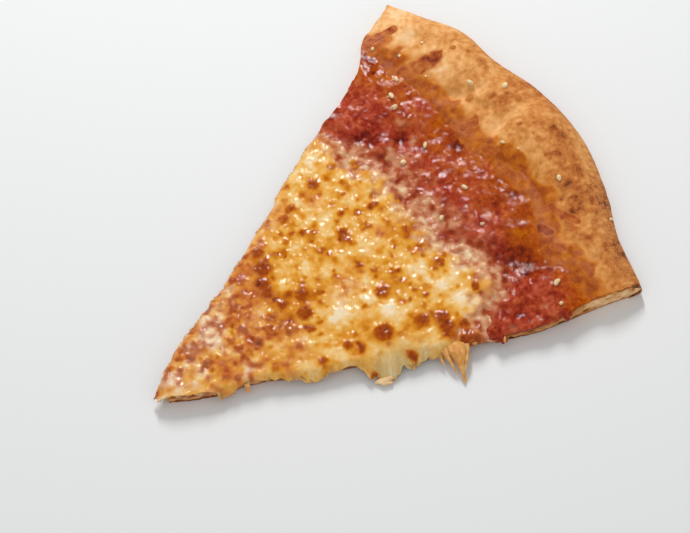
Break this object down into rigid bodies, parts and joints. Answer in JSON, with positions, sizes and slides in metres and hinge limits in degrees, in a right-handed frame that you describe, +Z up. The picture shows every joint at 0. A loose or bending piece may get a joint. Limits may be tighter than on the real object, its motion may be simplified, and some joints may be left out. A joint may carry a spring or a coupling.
{
  "type": "cheese pizza slice",
  "caption": "Triangular slice of thin-crust cheese pizza, lying flat: baked dough with a raised rim, tomato sauce and blistered melted cheese.",
  "frame": {"origin": "middle of the slice's bounding box, on the flat underside that rests on the plate", "axes": "+Y from the slice's tip to the rim, +Z up, +X to the right seen from above with the tip nearest"},
  "size_m": [0.1721, 0.2061, 0.0144],
  "materials": {
    "crust": "baked dough, dry and floury",
    "tomato_sauce": "cooked sauce, wet and oily",
    "melted_cheese": "melted and browned, oily"
  },
  "bodies": {
    "root": {"crust": "crust", "tomato_sauce": "tomato_sauce", "melted_cheese": "melted_cheese"}
  },
  "joints": []
}
